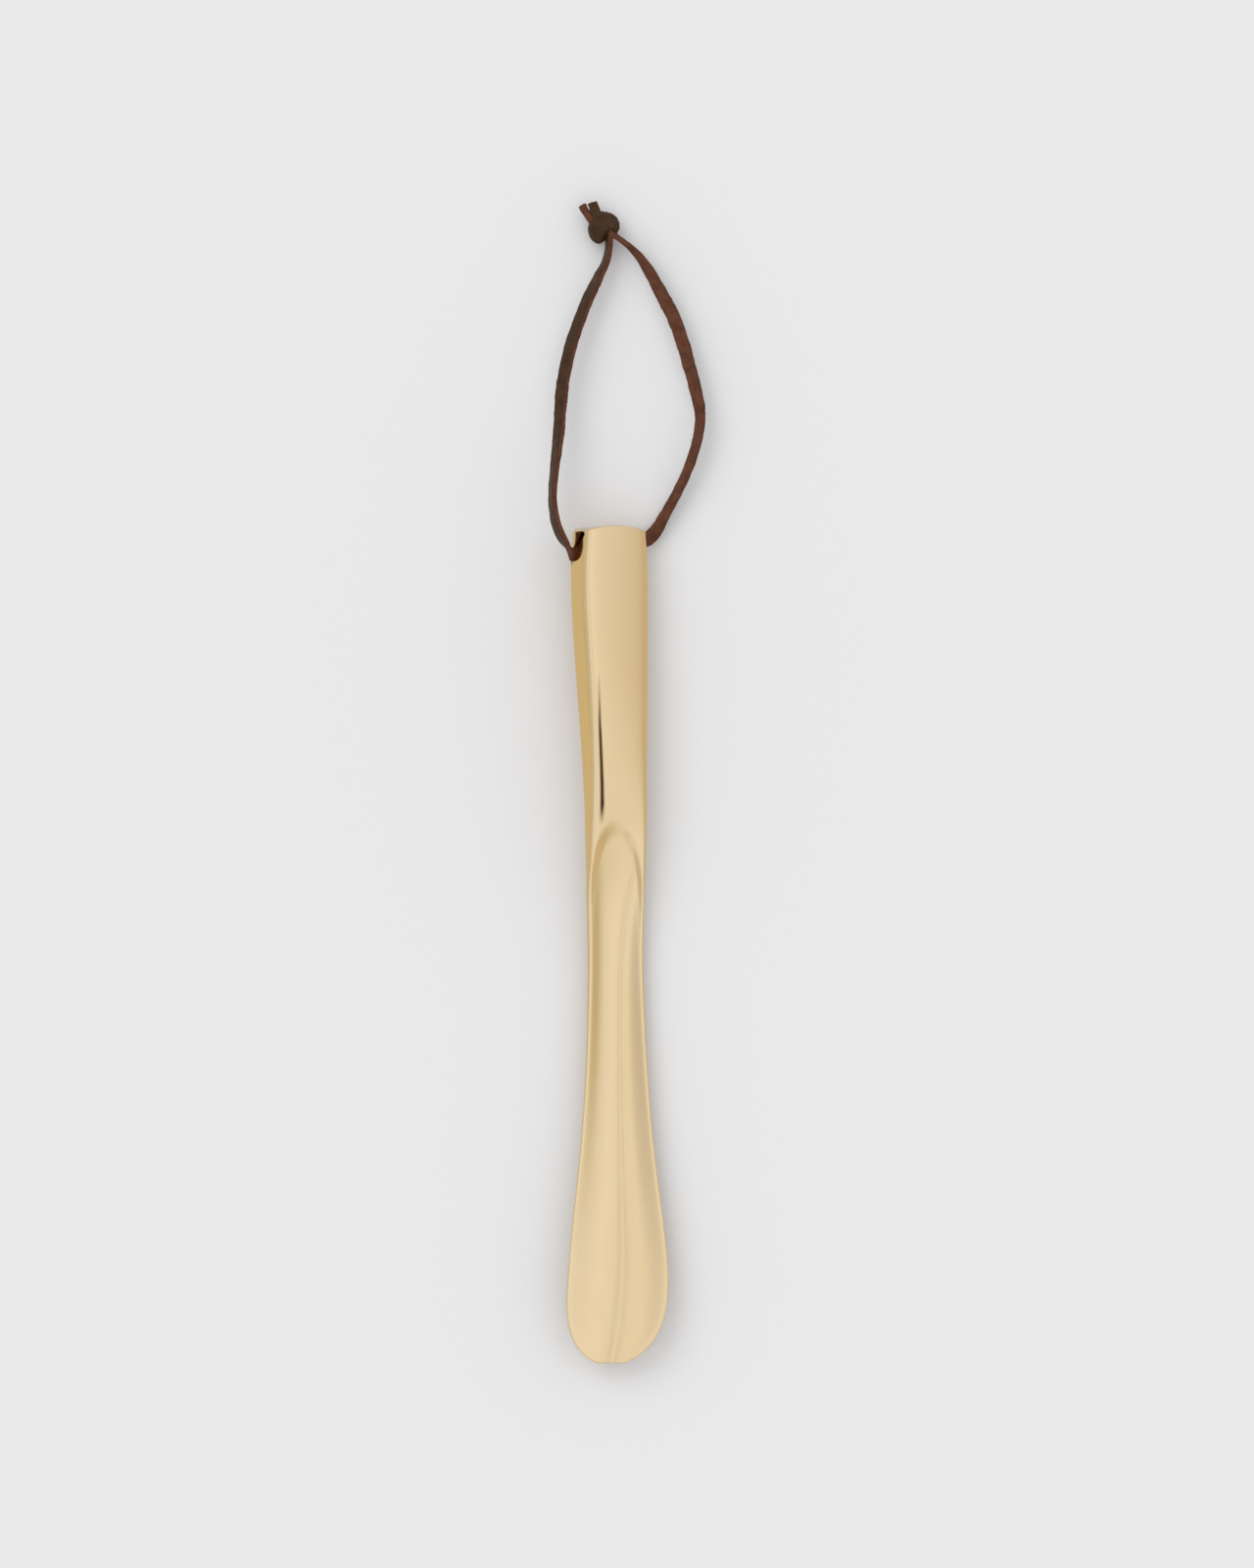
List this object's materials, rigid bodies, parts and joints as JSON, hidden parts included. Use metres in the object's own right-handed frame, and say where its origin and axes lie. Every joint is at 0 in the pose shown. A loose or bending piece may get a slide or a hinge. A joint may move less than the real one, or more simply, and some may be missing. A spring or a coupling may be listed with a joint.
{
  "type": "long shoehorn",
  "caption": "Long polished brass shoehorn with a twisted solid handle, an open dished blade and a knotted flat leather hanging loop through a slanted slot in the handle's top.",
  "frame": {"origin": "on the surface that the shoehorn lies on, under the middle of the brass", "axes": "+Y along the shoehorn from the blade's tip to the handle's top, +Z out of the blade's hollow side, +X to the right when looking at the hollow side with the handle up"},
  "size_m": [0.0639, 0.4746, 0.0269],
  "materials": {
    "polished_brass": "polished",
    "thong_leather": "matte"
  },
  "bodies": {
    "shoehorn": {"shoehorn_body": "polished_brass", "thong_in_slot": "thong_leather"},
    "loop": {"thong_left_strand": "thong_leather", "thong_right_strand": "thong_leather", "thong_knot": "thong_leather", "thong_tail_front": "thong_leather", "thong_tail_back": "thong_leather"}
  },
  "joints": [
    {"name": "loop_swing", "type": "hinge", "parent": "shoehorn", "child": "loop", "pos_m": [-0.00473, 0.1611, 0.01232], "axis": [0.8646, 0.1928, -0.464], "range_deg": [-135, 150]}
  ]
}
